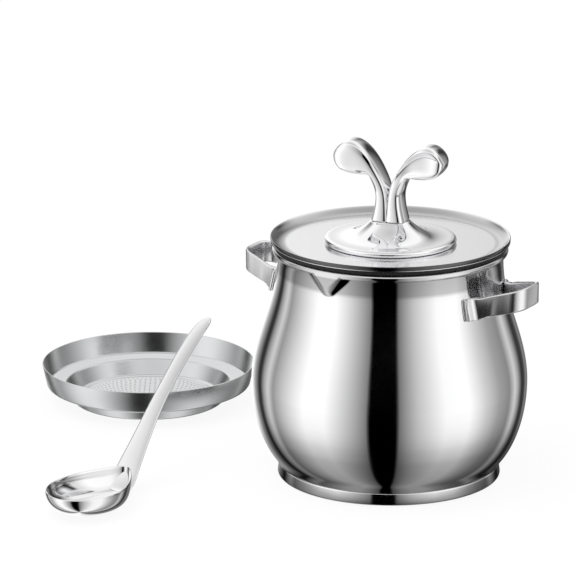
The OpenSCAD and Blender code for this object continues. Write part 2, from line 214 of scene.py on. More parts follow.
@dataclass(frozen=True)
class Surface:
    """A finish: its colour, its gloss, the marks that its making left, and any painted shade. Most are
    metals.
    """

    label: str
    colour: str
    roughness: float
    roughness_spread: float = 0.0
    metallic: float = 1.0
    ior: float | None = None
    smudge_size_mm: float = 30.0
    wave_size_mm: float = 0.0
    wave_height_mm: float = 0.0
    wave_detail: float = 1.0
    lay_spacing_mm: float = 0.0
    lay_height_mm: float = 0.0
    lay_centre_mm: Pair = (0.0, 0.0)
    painted_shade: PaintedShade | None = None

    def build(self) -> Material:
        """Makes the material.

        Returns:
            The material, whose patterns read Object coordinates in metres.
        """
        material = empty_material(self.label)
        tree = material.node_tree
        place = add_node(tree, "TexCoord").outputs["Object"]
        plain = {"Base Color": linear(self.colour), "Metallic": self.metallic, "Roughness": self.roughness}
        if self.ior:
            plain["IOR"] = self.ior
        shader = add_node(tree, "BsdfPrincipled", inputs=plain)
        if self.roughness_spread:
            tree.links.new(self.smudges(tree, place), shader.inputs["Roughness"])
        # Painted shade multiplies the finish's colour.
        if self.painted_shade:
            factors = {0: 1.0, 6: linear(self.colour), 7: self.painted_shade.build(tree, place)}
            mixed = add_node(tree, "Mix", {"data_type": "RGBA", "blend_type": "MULTIPLY"}, factors)
            tree.links.new(mixed.outputs[2], shader.inputs["Base Color"])
        normal = self.relief(tree, place)
        if normal:
            tree.links.new(normal, shader.inputs["Normal"])
        add_node(tree, "OutputMaterial", inputs={"Surface": shader})
        return material

    def smudges(self, tree: NodeTree, place: NodeSocket) -> NodeSocket:
        """Varies the roughness a little, as wiped and handled metal does.

        Args:
            tree: the material's nodes.
            place: the coordinates that the pattern reads.

        Returns:
            The roughness.
        """
        grain = {"Vector": place, "Scale": 1 / (self.smudge_size_mm * MM), "Detail": 3.0, "Roughness": 0.6}
        limits = {
            "Value": add_node(tree, "TexNoise", inputs=grain),
            "From Min": 0.3,
            "From Max": 0.7,
            "To Min": max(self.roughness - self.roughness_spread, 0.0),
            "To Max": self.roughness + self.roughness_spread,
        }
        return add_node(tree, "MapRange", inputs=limits).outputs["Result"]

    def relief(self, tree: NodeTree, place: NodeSocket) -> NodeSocket | None:
        """Makes the waves of drawn sheet, a mould's grain, or the rings of a lathe or a polishing wheel.

        Args:
            tree: the material's nodes.
            place: the coordinates that the pattern reads.

        Returns:
            The bumped normal, or None where the surface is plain.
        """
        if self.wave_height_mm:
            grain = {"Vector": place, "Scale": 1 / (self.wave_size_mm * MM), "Detail": self.wave_detail}
            pattern = add_node(tree, "TexNoise", inputs=grain)
        elif self.lay_height_mm:
            centre = (-self.lay_centre_mm[0] * MM, -self.lay_centre_mm[1] * MM, 0.0)
            centred = add_node(tree, "Mapping", inputs={"Vector": place, "Location": centre})
            height = add_node(tree, "SeparateXYZ", inputs={"Vector": centred}).outputs["Z"]
            terms = {0: axis_distance(tree, centred), 1: height}
            across = add_node(tree, "Math", {"operation": "ADD"}, terms)
            grain = {"W": across, "Scale": 1 / (self.lay_spacing_mm * MM), "Detail": 4.0}
            pattern = add_node(tree, "TexNoise", {"noise_dimensions": "1D"}, grain)
        else:
            return None
        depth = (self.wave_height_mm or self.lay_height_mm) * MM
        dents = {"Height": pattern, "Distance": depth, "Strength": 1.0}
        return add_node(tree, "Bump", inputs=dents).outputs["Normal"]


# Painted shade: the neck is painted greyer up to the rim, standing in for shade there; the bead a little
# greyer.
NECK_PAINTED_SHADE = PaintedShade(
    Along.HEIGHT, ((104.0, 1.0), (106.4, 0.97), (108.4, 0.56), (115.6, 0.5), (116.3, 0.8), (117.5, 0.8))
)
# Painted shade: the lid's turned-up edge is painted greyer, and the fold's outer face near black under the
# lip.
EDGE_PAINTED_SHADE = PaintedShade(
    Along.RADIUS,
    ((52.0, 1.0), (53.6, 0.58), (57.0, 0.5), (59.2, 0.62), (59.9, 0.9), (60.2, 0.12), (61.0, 0.12)),
)
# Deep-drawn stainless steel, mirror polished: crisp reflections with a slow waviness.
MIRROR_STEEL = Surface(
    "mirror_polished_stainless", "#e9e9ea", 0.055, 0.02, wave_size_mm=45, wave_height_mm=0.02, painted_shade=NECK_PAINTED_SHADE
)
# The pressed base cap: the same steel without the neck's painted shade.
CAP_STEEL = Surface("mirror_polished_cap", "#e6e6e7", 0.07, 0.02, wave_size_mm=30, wave_height_mm=0.01)
# Stainless sheet spun flat on a lathe and buffed: soft, with faint rings round the middle.
BUFFED_STEEL = Surface(
    "buffed_spun_stainless", "#f0f0f1", 0.16, 0.03, lay_spacing_mm=0.9, lay_height_mm=0.003, painted_shade=EDGE_PAINTED_SHADE
)
# The rounded lower edge of the lid's fold, rubbed bright.
FOLD_STEEL = Surface("rubbed_fold_stainless", "#d8d8d9", 0.18, 0.03)
# Black silicone, moulded matt, with the fine grain of its mould.
BLACK_SILICONE = Surface(
    *("matt_black_silicone", "#151516", 0.55),
    metallic=0.0,
    ior=1.43,
    wave_size_mm=0.4,
    wave_height_mm=0.01,
    wave_detail=2.0,
)
# Stainless strap, bent and barrel polished: bright, but its reflections are soft.
STRAP_STEEL = Surface("barrel_polished_stainless", "#e3e3e4", 0.23, 0.03)
# Pressed stainless sheet with a satin lay that runs round its walls, drawn coarser than real to show.
SATIN_STEEL = Surface(
    *("satin_pressed_stainless", "#cfd0d1", 0.26, 0.05),
    lay_spacing_mm=0.7,
    lay_height_mm=0.012,
    lay_centre_mm=(-172.0, 45.0),
)
# Zinc casting under bright chrome: the clearest mirror on the object.
CAST_CHROME = Surface("chromed_zinc_casting", "#efeff0", 0.035, 0.012)
# Pressed and polished spoon steel.
SPOON_STEEL = Surface("polished_spoon_steel", "#e8e8e9", 0.11, 0.03)
# Rolled aluminium disc, dull and a little warm.
DULL_ALUMINIUM = Surface("rolled_aluminium", "#c4c3c0", 0.4, 0.05)
# Turned and pressed fixings, left as they come from the machine.
TURNED_STEEL = Surface("turned_steel", "#b3b4b6", 0.3, 0.05, lay_spacing_mm=0.5, lay_height_mm=0.01)


# -------- mesh helpers


def arc(centre: Pair, radius: float, start: float, end: float, steps: int) -> Profile:
    """Points on an arc in a profile, in millimetres and degrees.

    Args:
        centre: the arc's centre as radius and height.
        radius: the arc's radius.
        start: first angle, 0 outwards and 90 upwards.
        end: last angle.
        steps: number of segments.

    Returns:
        The points from start to end.
    """
    angles = [math.radians(start + (end - start) * i / steps) for i in range(steps + 1)]
    return [(centre[0] + radius * math.cos(a), centre[1] + radius * math.sin(a)) for a in angles]


def between(start: Pair, end: Pair, shares: Sequence[float]) -> Profile:
    """Points on a straight line, each at a share of the way from its start to its end."""
    return [(start[0] + (end[0] - start[0]) * t, start[1] + (end[1] - start[1]) * t) for t in shares]


def moved_in(line: Profile, distance: float, floor: float) -> Profile:
    """A profile moved towards its inner side, kept above a floor.

    Args:
        line: the outer profile, from the bottom up.
        distance: how far to move it.
        floor: least height of the result.

    Returns:
        The inner profile, from the bottom up.
    """
    result = []
    for i, (r, z) in enumerate(line):
        before = line[max(i - 1, 0)]
        after = line[min(i + 1, len(line) - 1)]
        dr, dz = after[0] - before[0], after[1] - before[1]
        size = math.hypot(dr, dz)
        result.append((r - distance * dz / size, max(z + distance * dr / size, floor)))
    return result


def squared_circle(angle: float, power: float) -> Pair:
    """A point of a circle, upwards and sideways, squared off more the smaller the power is."""
    up, out = math.cos(angle), math.sin(angle)
    return (math.copysign(abs(up) ** power, up), math.copysign(abs(out) ** power, out))


def spun(profile: Profile, closed: bool, steps: int) -> BMesh:
    """Spins a profile into a mesh round the Z axis.

    Args:
        profile: radius and height of each point, in millimetres.
        closed: whether the last point joins the first.
        steps: number of segments round the turn.

    Returns:
        The mesh, with its doubles merged.
    """
    mesh = bmesh.new()
    verts = [mesh.verts.new((r * MM, 0.0, z * MM)) for r, z in profile]
    pairs = list(zip(verts, verts[1:]))
    if closed:
        pairs.append((verts[-1], verts[0]))
    edges = [mesh.edges.new(pair) for pair in pairs]
    turn = {"cent": (0, 0, 0), "axis": (0, 0, 1), "angle": FULL_TURN, "steps": steps}
    bmesh.ops.spin(mesh, geom=verts + edges, use_merge=True, **turn)
    bmesh.ops.remove_doubles(mesh, verts=mesh.verts, dist=0.002 * MM)
    bmesh.ops.dissolve_degenerate(mesh, edges=mesh.edges, dist=0.001 * MM)
    bmesh.ops.recalc_face_normals(mesh, faces=mesh.faces)
    return mesh


def swept(rings: Sequence[Sequence[Vector]]) -> BMesh:
    """Extrudes a ring of points through a row of places, and closes both ends.

    Args:
        rings: the ring's points at each place, in metres.

    Returns:
        The closed mesh.
    """
    mesh = bmesh.new()
    sides = len(rings[0])
    ring = bmesh.ops.create_circle(mesh, cap_ends=True, segments=sides, radius=1.0)["verts"]
    for vert, spot in zip(ring, rings[0]):
        vert.co = spot
    edges = [mesh.edges.get((ring[k], ring[(k + 1) % sides])) for k in range(sides)]
    for spots in rings[1:]:
        made = bmesh.ops.extrude_edge_only(mesh, edges=edges)["geom"]
        edges = [g for g in made if isinstance(g, BMEdge)]
        fresh = {g for g in made if isinstance(g, BMVert)}
        # The new points, in the order of the old ones that they came from.
        ring = [next(e.other_vert(v) for e in v.link_edges if e.other_vert(v) in fresh) for v in ring]
        for vert, spot in zip(ring, spots):
            vert.co = spot
    bmesh.ops.contextual_create(mesh, geom=edges)
    bmesh.ops.recalc_face_normals(mesh, faces=mesh.faces)
    return mesh


def piece(
    name: str, mesh: BMesh, finish: Surface, body: Body, node: str, subdivision: int = 0
) -> Object:
    """Makes a finished, smooth-shaded piece that rides on its body.

    Args:
        name: the piece's name.
        mesh: its shape, freed here.
        finish: its look.
        body: the body that it rides on.
        node: the frame's node that it stands for, whole or in part.
        subdivision: levels of Subdivision Surface.

    Returns:
        The new object.
    """
    data = bpy.data.meshes.new(name)
    mesh.to_mesh(data)
    mesh.free()
    data.materials.append(material_of(finish))
    data.polygons.foreach_set("use_smooth", [True] * len(data.polygons))
    made = bpy.data.objects.new(name, data)
    bpy.context.scene.collection.objects.link(made)
    if subdivision:
        smooth = made.modifiers.new("smooth", "SUBSURF")
        smooth.levels = subdivision
        smooth.render_levels = subdivision
    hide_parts(node)
    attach(made, body.value)
    LOG.info("made %s with %d faces", name, len(data.polygons))
    return made


def material_of(finish: Surface) -> Material:
    """Gives the finish's material, made on its first use."""
    return bpy.data.materials.get(finish.label) or finish.build()


def dress_node(name: str, finish: Surface) -> None:
    """Gives a node of the frame that stays in view its better finish.

    Args:
        name: the node's name.
        finish: its look.
    """
    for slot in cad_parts[name].material_slots:
        slot.material = material_of(finish)
    LOG.info("dressed %s", name)


# -------- pot


@dataclass
class Pot:
    """The drawn pot, its capped base and its two strap handles. Sizes are in millimetres and degrees.

    The beak's tip is rounder than in the solid, the cap leans in, and a fillet closes the groove above it.
    """

    belly_r: float = 69.9
    belly_z: float = 49.2
    foot_r: float = 53.3
    belly_fullness: float = 1.48
    neck_r: float = 57.0
    neck_z: float = 112.4
    rim_z: float = 119.2
    rim_r: float = 59.4
    bead_r: float = 1.6
    wall: float = 0.8
    base_r: float = 56.6
    base_h: float = 6.0
    cap_wall: float = 0.6
    cap_lean: float = 0.6
    cap_edge_r: float = 1.2
    cap_corner_r: float = 0.25
    foot_fillet: float = 4.0
    fillet_inset: float = 0.2
    beak_tip_r: float = 6.5
    beak_half_angle: float = 55.9
    beak_lean: float = 45.9
    beak_drop: float = 2.2
    beak_sunk: float = 4.4
    beak_turn: float = -3.6
    beak_band: float = 14.0
    beak_spread: float = 18.0
    handle_reach: float = 80.3
    handle_foot_w: float = 18.4
    handle_end_w: float = 13.2
    handle_corner_r: float = 8.5
    handle_rise: float = 5.6
    handle_z: float = 98.4
    strap_h: float = 10.8
    strap_t: float = 2.0
    strap_edge_r: float = 0.85
    strap_twist: float = 5.0
    strap_lead: float = 3.0
    tab_w: float = 5.5
    seam_gap: float = 0.1
    steps: int = 360

    def radius_at(self, z: float) -> float:
        """Outer radius of the wall at a height.

        Args:
            z: the height.

        Returns:
            The radius, without the beak and the fillet at the foot.
        """
        if z < self.belly_z:
            share = (self.belly_z - z) / (self.belly_z - self.base_h)
            swell = max(0.0, 1 - share**2) ** (1 / self.belly_fullness)
            return self.foot_r + (self.belly_r - self.foot_r) * swell
        if z < self.neck_z:
            share = (z - self.belly_z) / (self.neck_z - self.belly_z)
            return self.neck_r + (self.belly_r - self.neck_r) * (1 + math.cos(math.pi * share)) / 2
        flare = self.rim_r - self.bead_r - self.neck_r
        return self.neck_r + flare * ((z - self.neck_z) / (self.rim_z - self.bead_r - self.neck_z)) ** 2

    def fillet_at(self, z: float) -> float:
        """Radius of the soft fillet between the wall and the base cap.

        Args:
            z: the height.

        Returns:
            The radius, or 0 above the fillet.
        """
        share = (z - self.base_h) / self.foot_fillet
        if share > 1:
            return 0.0
        start = self.base_r - self.cap_lean - self.fillet_inset
        return start + (self.radius_at(self.base_h + self.foot_fillet) - start) * share

    def wall_line(self) -> Profile:
        """Draws the wall's outer line, which is finest in the band round the beak.

        Returns:
            The line, from the foot to just under the bead.
        """
        band, top = self.neck_z - self.beak_band, self.rim_z - 2 * self.bead_r
        belly = self.belly_z - self.base_h
        low = [self.base_h + belly * (1 - math.cos(math.radians(4 * i))) for i in range(22)]
        high = [self.belly_z + (band - self.belly_z) * i / 30 for i in range(31)]
        fine = [band + (top - band) * i / 20 for i in range(1, 21)]
        return [(max(self.radius_at(z), self.fillet_at(z)), z) for z in low + high + fine]

    def beak_gap(self, point: Vector, inset: float) -> float:
        """How far a point lies outside the beak's round-tipped cone.

        Args:
            point: the point, in millimetres.
            inset: how much smaller the cone is, for its inner face.

        Returns:
            The distance, negative inside the cone.
        """
        tip_place = Vector((0.0, self.beak_sunk - self.neck_r, self.neck_z - self.beak_drop))
        local = Matrix.Rotation(-math.radians(self.beak_turn), 3, "Z") @ point - tip_place
        lean, half = math.radians(self.beak_lean), math.radians(self.beak_half_angle)
        axis = Vector((0.0, math.sin(lean), math.cos(lean)))
        along = local.dot(axis)
        out = (local - axis * along).length
        tip = self.beak_tip_r - inset
        if out * math.sin(half) + along * math.cos(half) < 0:
            return local.length - tip
        return out * math.cos(half) - along * math.sin(half) - tip

    def beak_reach(self, x: float, y: float, z: float, inset: float) -> float:
        """Finds how far from the axis a point of the wall is pressed out, all in millimetres.

        Args:
            x: the point's place across.
            y: its place towards the back.
            z: its height.
            inset: how much smaller the beak is, for its inner face.

        Returns:
            The point's new distance from the axis.
        """
        near, far = math.hypot(x, y), self.rim_r - inset
        outwards = Vector((x / near, y / near, 0.0))
        height = Vector((0.0, 0.0, z))
        if self.beak_gap(outwards * near + height, inset) >= 0 or near >= far:
            return near
        for _ in range(20):
            middle = (near + far) / 2
            if self.beak_gap(outwards * middle + height, inset) < 0:
                near = middle
            else:
                far = middle
        return near

    def press_beak(self, mesh: BMesh) -> None:
        """Refines the front of the neck, presses the beak out of it and softens its edges.

        Args:
            mesh: the pot's shell.
        """
        low, high = self.neck_z - self.beak_band, self.rim_z - self.bead_r + 0.1
        bead_foot = self.rim_z - 2 * self.bead_r
        middle = math.radians(self.beak_turn)

        def near_beak(place: Vector, spread: float) -> bool:
            """Whether a place lies in the part of the neck round the beak."""
            angle = math.atan2(place.x, -place.y)
            return place.y < 0 and abs(angle - middle) < math.radians(spread) and low < place.z / MM < high

        faces = [f for f in mesh.faces if near_beak(f.calc_center_median(), self.beak_spread)]
        edges = list({e for f in faces for e in f.edges})
        bmesh.ops.subdivide_edges(mesh, edges=edges, cuts=2, use_grid_fill=True)
        for vert in mesh.verts:
            if not near_beak(vert.co, self.beak_spread + 1):
                continue
            x, y, z = (c / MM for c in vert.co)
            reach, wall_r = math.hypot(x, y), self.radius_at(z)
            outside = reach > wall_r - self.wall / 2
            if outside and z < bead_foot:
                x, y, reach = x * wall_r / reach, y * wall_r / reach, wall_r
            pressed = self.beak_reach(x, y, z, 0.0 if outside else self.wall)
            vert.co.x, vert.co.y = x * pressed / reach * MM, y * pressed / reach * MM
        middle_verts = [v for v in mesh.verts if near_beak(v.co, self.beak_spread - 2)]
        soft = [v for v in middle_verts if v.co.z / MM < bead_foot - 0.3]
        every_way = {"use_axis_x": True, "use_axis_y": True, "use_axis_z": True}
        for _ in range(2):
            bmesh.ops.smooth_vert(mesh, verts=soft, factor=0.5, **every_way)

    def shell(self) -> None:
        """Builds the pot's shell with its rolled rim and its pressed beak."""
        floor = self.base_h + self.wall
        outer = self.wall_line()
        inner = moved_in(outer, self.wall, floor)
        bead = arc((self.rim_r - self.bead_r, self.rim_z - self.bead_r), self.bead_r, -100, 190, 20)
        mesh = spun([(0.0, self.base_h)] + outer + bead + inner[::-1] + [(0.0, floor)], False, self.steps)
        self.press_beak(mesh)
        piece("pot_shell_polished", mesh, MIRROR_STEEL, Body.POT, "pot_shell")

    def base(self) -> None:
        """Builds the pressed cap that wraps the base disc, and dresses the disc.

        Three points on the cap's side keep its shading flat between its two rounded edges.
        """
        edge, corner = self.cap_edge_r, self.cap_corner_r
        lip, inner_r = self.foot_r - self.cap_wall, self.base_r - self.cap_wall
        under = [(0.0, 0.0)] + arc((self.base_r - edge, edge), edge, -90, -8, 8)
        top = arc((self.base_r - self.cap_lean - corner, self.base_h - corner), corner, 8, 90, 4)
        side = between(under[-1], top[0], (0.08, 0.5, 0.92))
        inside = [
            (lip, self.base_h),
            (lip, self.base_h - self.cap_wall),
            (inner_r, self.base_h - self.cap_wall),
            (inner_r, edge),
            (self.base_r - edge - self.cap_wall / 2, self.cap_wall),
            (0.0, self.cap_wall),
        ]
        mesh = spun(under + side + top + inside, False, self.steps)
        piece("base_cap_polished", mesh, CAP_STEEL, Body.POT, "base_cap")
        dress_node("base_core", DULL_ALUMINIUM)

    def strap_path(self) -> Profile:
        """Draws the plan of half the strap's outer face, whose small offsets round the bend at its tab.

        Returns:
            The line, from the tab's end to the middle of the loop's end.
        """
        tab_face = self.radius_at(self.handle_z) + self.seam_gap + self.strap_t
        foot_angle = math.degrees(math.asin(self.handle_foot_w / tab_face))
        tab_angle = foot_angle + math.degrees(self.tab_w / tab_face)
        tab = arc((0.0, 0.0), tab_face, tab_angle, foot_angle + 1.2, 5)
        bend = (tab_face * math.cos(math.radians(foot_angle)) + 0.35, self.handle_foot_w + 0.25)
        corner_centre = (self.handle_reach - self.handle_corner_r, self.handle_end_w - self.handle_corner_r)
        corner = arc(corner_centre, self.handle_corner_r, 78, 0, 9)
        leg_start = (bend[0] + 1.0, self.handle_foot_w - 0.25)
        leg = between(leg_start, corner[0], [i / 6 for i in range(6)])
        return tab + [bend] + leg + corner

    def handle(self, side: int) -> None:
        """Builds one handle from a bent strap.

        Args:
            side: 1 for the handle at +X, -1 for the one at -X.
        """
        half = self.strap_path()
        path = half + [(x, -y) for x, y in half[::-1]]
        mesh = bmesh.new()
        verts = [mesh.verts.new((x * MM, y * MM, 0.0)) for x, y in path]
        edges = [mesh.edges.new(pair) for pair in zip(verts, verts[1:])]
        made = bmesh.ops.extrude_edge_only(mesh, edges=edges)["geom"]
        upper = [g for g in made if isinstance(g, BMVert)]
        bmesh.ops.translate(mesh, verts=upper, vec=(0, 0, self.strap_h * MM))
        bmesh.ops.recalc_face_normals(mesh, faces=mesh.faces)
        bmesh.ops.solidify(mesh, geom=mesh.faces[:], thickness=self.strap_t * MM)
        bmesh.ops.translate(mesh, verts=mesh.verts, vec=(0, 0, (self.handle_z - self.strap_h / 2) * MM))
        self.fit_strap(mesh)
        rims = [e for e in mesh.edges if e.is_manifold and e.calc_face_angle(0) > math.radians(60)]
        shape = {"offset": self.strap_edge_r * MM, "offset_type": "OFFSET", "segments": 4, "profile": 0.5}
        bmesh.ops.bevel(mesh, geom=rims, affect="EDGES", material=-1, **shape)
        if side < 0:
            turn = Matrix.Rotation(math.pi, 3, "Z")
            bmesh.ops.rotate(mesh, verts=mesh.verts, cent=(0, 0, 0), matrix=turn)
        node = "right_handle" if side > 0 else "left_handle"
        piece(f"{node}_strap", mesh, STRAP_STEEL, Body.POT, node)

    def fit_strap(self, mesh: BMesh) -> None:
        """Lays the tabs on the sloping wall, and lets the upright strap climb from them to its end.

        Args:
            mesh: the strap, standing straight up.
        """
        middle_r = self.radius_at(self.handle_z)
        start = middle_r + self.seam_gap + self.strap_t
        foot = start - self.strap_lead
        for vert in mesh.verts:
            x, y, z = (c / MM for c in vert.co)
            reach = math.hypot(x, y)
            hold = min(1.0, max(0.0, 1 - (reach - start) / self.strap_twist))
            settled = (reach + hold * (self.radius_at(z) - middle_r)) / reach
            climb = self.handle_rise * max(0.0, x - foot) / (self.handle_reach - foot)
            vert.co = Vector((x * settled, y * settled, z + climb * (1 - hold))) * MM

    def build(self) -> None:
        """Builds the whole pot."""
        self.shell()
        self.base()
        self.handle(1)
        self.handle(-1)


# -------- lid and knob


@dataclass
class Lid:
    """The dished lid and the knob on it. Sizes are in millimetres and degrees.

    The leaves' undersides hang a little lower here than in the solid, and their faces are dished. Each row
    of a leaf, from its foot to its tip, gives its upper and lower point as shares of its reach and height,
    its depth, and its share of the dish.
    """

    radius: float = 60.4
    flat_r: float = 53.0
    rise: float = 3.65
    hem_h: float = 2.8
    lip_r: float = 0.4
    hem_edge_r: float = 0.42
    sheet: float = 0.8
    seal_inset: float = 1.0
    seal_h: float = 6.0
    seal_t: float = 0.75
    skirt_t: float = 0.8
    flange_r: float = 33.3
    flange_edge: float = 3.0
    flange_top_r: float = 9.6
    flange_h: float = 11.4
    flange_hollow: float = 2.6
    bore_r: float = 2.7
    sprout_turn: float = 8.0
    leaf_reach: float = 28.7
    leaf_h: float = 40.4
    leaf_sides: int = 32
    leaf_rows: tuple[tuple[Pair, Pair, float, float], ...] = (
        ((-0.05, 0.0), (0.31, 0.0), 14.3, 0.0),
        ((-0.05, 0.006), (0.31, 0.006), 14.3, 0.0),
        ((-0.045, 0.04), (0.3, 0.04), 14.04, 0.0),
        ((-0.025, 0.16), (0.25, 0.16), 13.0, 0.0),
        ((-0.01, 0.3), (0.227, 0.3), 12.74, 0.0),
        ((0.02, 0.41), (0.24, 0.38), 13.0, 0.0),
        ((0.065, 0.5), (0.278, 0.46), 13.78, 0.1),
        ((0.15, 0.61), (0.325, 0.55), 15.13, 0.4),
        ((0.255, 0.735), (0.37, 0.575), 16.32, 0.8),
        ((0.37, 0.85), (0.445, 0.565), 16.83, 1.0),
        ((0.51, 0.945), (0.55, 0.56), 17.0, 1.0),
        ((0.67, 1.0), (0.665, 0.562), 17.0, 1.0),
        ((0.82, 0.985), (0.79, 0.575), 16.83, 0.9),
        ((0.95, 0.91), (0.9, 0.61), 15.81, 0.5),
        ((1.01, 0.82), (0.985, 0.69), 12.92, 0.1),
        ((1.03, 0.78), (1.02, 0.74), 5.95, 0.0),
    )
    seam_gap: float = 0.1
    steps: int = 256
    flat_z: float = field(init=False)

    def __post_init__(self) -> None:
        """Takes the height of the lid's flat middle from the frame."""
        self.flat_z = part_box("knob_flange")[0][2] / MM

    def slope(self, radius: float) -> float:
        """Height of the lid's upper face over its flat middle."""
        bend_r = ((self.radius - self.flat_r) ** 2 + self.rise**2) / (2 * self.rise)
        return bend_r - math.sqrt(bend_r**2 - max(0.0, radius - self.flat_r) ** 2)

    def pan(self) -> None:
        """Builds the dished sheet with its turned-up and folded edge, and the fold's bright lower edge."""
        top_rs = [self.flat_r + (self.radius - self.lip_r - self.flat_r) * i / 12 for i in range(13)]
        top = [(r, self.flat_z + self.slope(r)) for r in top_rs]
        lip = arc((self.radius - self.lip_r, top[-1][1] - self.lip_r), self.lip_r, 75, 0, 5)
        hem_z = self.flat_z + self.rise - self.hem_h
        fold = [(self.radius, hem_z + 0.3), (self.radius - self.sheet, hem_z)]
        under = [(r, z - self.sheet) for r, z in top[::-1] if r < self.radius - 2.2 * self.sheet]
        flat = [(r, self.flat_z) for r in (self.bore_r, self.flange_r, self.flat_r - 1.5)]
        back = [(r, z - self.sheet) for r, z in flat[::-1]]
        mesh = spun(flat + top + lip + fold + under + back, True, self.steps)
        piece("lid_pan_buffed", mesh, BUFFED_STEEL, Body.LID, "lid_pan")
        edge = arc((self.radius - 0.45, hem_z + 0.2), self.hem_edge_r, -180, 150, 10)
        mesh = spun(edge, True, self.steps)
        piece("lid_fold_edge", mesh, FOLD_STEEL, Body.LID, "lid_pan")
        dress_node("knob_screw", TURNED_STEEL)
        dress_node("knob_washer", TURNED_STEEL)

    def seal(self) -> None:
        """Builds the seal: a flat lip between lid and rim, and a skirt in the mouth."""
        under = self.flat_z - self.sheet
        floor = under - self.seal_t
        skirt_r, half = self.flat_r - self.seal_inset, self.skirt_t / 2
        lip_r = self.radius - 2 * self.sheet
        foot = arc((skirt_r - half, under - self.seal_h + half), half, -180, 0, 6)
        lip_rs = (lip_r, (lip_r + self.flat_r) / 2, self.flat_r)
        top = [(r, under + self.slope(r) - self.seam_gap) for r in lip_rs]
        root = [(skirt_r, under), (skirt_r - self.skirt_t, under)]
        mesh = spun(foot + [(skirt_r, floor), (lip_r, floor)] + top + root, True, self.steps)
        piece("lid_seal_moulded", mesh, BLACK_SILICONE, Body.LID, "lid_seal")

    def flange(self) -> None:
        """Builds the knob's trumpet-shaped foot."""
        half = self.flange_edge / 2
        brim = arc((self.flange_r - half, half), half, -90, 80, 14)
        rim = self.flange_r - self.flange_edge
        climb = self.flange_h - self.flange_edge
        top = [
            (rim + (self.flange_top_r - rim) * t, self.flange_edge + climb * t**self.flange_hollow)
            for t in (i / 24 for i in range(25))
        ]
        profile = [(self.bore_r, 0.0)] + brim + top + [(self.bore_r, self.flange_h)]
        mesh = spun([(r, z + self.flat_z) for r, z in profile], True, self.steps)
        piece("knob_flange_cast", mesh, CAST_CHROME, Body.LID, "knob_flange")

    def leaf(self, turned: bool) -> None:
        """Builds one leaf with its stalk, pressed in on its two faces.

        Args:
            turned: whether it is the leaf on the far side, whose dish is shallower with a steeper wall.
        """
        dish_depth, dish_wall = (0.8, 0.2) if turned else (2.6, 0.5)
        rings = []
        for upper, lower, depth, dish in self.leaf_rows:
            top, foot = (Vector((x * self.leaf_reach, 0, z * self.leaf_h)) for x, z in (upper, lower))
            middle, half = (top + foot) / 2, (foot - top) / 2
            ring = []
            for k in range(self.leaf_sides):
                up, out = squared_circle(FULL_TURN * k / self.leaf_sides, 0.55)
                wall = min(1.0, max(0.0, (0.86 - abs(up)) / dish_wall))
                press = dish_depth * dish * wall * wall * (3 - 2 * wall) * math.copysign(1, out)
                ring.append((middle + half * up + Vector((0, depth / 2 * out - press, 0))) * MM)
            rings.append(ring)
        mesh = swept(rings)
        lift = Matrix.Translation((0, 0, (self.flat_z + self.flange_h + self.seam_gap) * MM))
        turn = Matrix.Rotation(math.radians(self.sprout_turn + (180 if turned else 0)), 4, "Z")
        bmesh.ops.transform(mesh, matrix=lift @ turn, verts=mesh.verts)
        name = "sprout_leaf_left" if turned else "sprout_leaf_right"
        piece(name, mesh, CAST_CHROME, Body.LID, "sprout_knob", subdivision=2)

    def build(self) -> None:
        """Builds the whole lid."""
        self.pan()
        self.seal()
        self.flange()
        self.leaf(False)
        self.leaf(True)


# -------- strainer


@dataclass
class Strainer:
    """The pressed strainer pan round its perforated disc. Sizes are in millimetres."""

    radius: float = 57.0
    ledge_r: float = 54.6
    ledge_drop: float = 11.4
    basin_top_r: float = 44.7
    basin_floor_r: float = 40.8
    basin_drop: float = 9.0
    sheet: float = 0.7
    disc_r: float = 36.6
    bend_r: float = 1.4
    lip_drop: float = 0.25
    steps: int = 256
    centre: Pair = field(init=False)

    def __post_init__(self) -> None:
        """Takes the strainer's place from the frame."""
        low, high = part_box("strainer_plate")
        self.centre = ((low[0] + high[0]) / 2, (low[1] + high[1]) / 2)

    def upper_face(self) -> Profile:
        """Draws the pan's upper face, with rounded bends.

        Returns:
            The line, from the disc to the top edge.
        """
        corners = [
            (self.disc_r, self.sheet),
            (self.basin_floor_r - self.sheet, self.sheet),
            (self.basin_top_r - self.sheet, self.basin_drop),
            (self.ledge_r - self.sheet, self.basin_drop),
            (self.radius - self.sheet, self.basin_drop + self.ledge_drop),
        ]
        return rounded(corners, self.bend_r)

    def build(self) -> None:
        """Builds the pan and dresses the disc. The pot doesn't mirror them, as in the photograph."""
        face = self.upper_face()
        back = moved_in(face, -self.sheet, 0.0)
        top_r, top_z = face[-1]
        middle_r = (top_r + back[-1][0]) / 2
        lip = arc((middle_r, top_z - self.lip_drop), self.sheet / 2, 165, 15, 6)
        inner_end = (middle_r - self.sheet / 2, top_z - self.sheet / 2)
        mesh = spun(face[:-1] + [inner_end] + lip + back[::-1][1:], True, self.steps)
        bmesh.ops.translate(mesh, verts=mesh.verts, vec=(self.centre[0], self.centre[1], 0))
        pan = piece("strainer_pan_pressed", mesh, SATIN_STEEL, Body.STRAINER, "strainer_pan")
        dress_node("strainer_plate", SATIN_STEEL)
        for part in (pan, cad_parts["strainer_plate"]):
            part.visible_glossy = False


def rounded(corners: Profile, radius: float) -> Profile:
    """Rounds the inner corners of a line with arcs.

    Args:
        corners: the line's corners.
        radius: radius of each bend.

    Returns:
        The line with each bend as a few points.
    """
    line: Profile = [corners[0]]
    steps = 5
    for before, here, after in zip(corners, corners[1:], corners[2:]):
        a, b, c = Vector(before), Vector(here), Vector(after)
        to_a, to_c = (a - b).normalized(), (c - b).normalized()
        reach = radius / math.tan(to_a.angle(to_c) / 2)
        start, end = b + to_a * reach, b + to_c * reach
        for i in range(steps + 1):
            t = i / steps
            point = start * (1 - t) ** 2 + b * 2 * t * (1 - t) + end * t**2
            line.append((point.x, point.y))
    line.append(corners[-1])
    return line


# -------- spoon


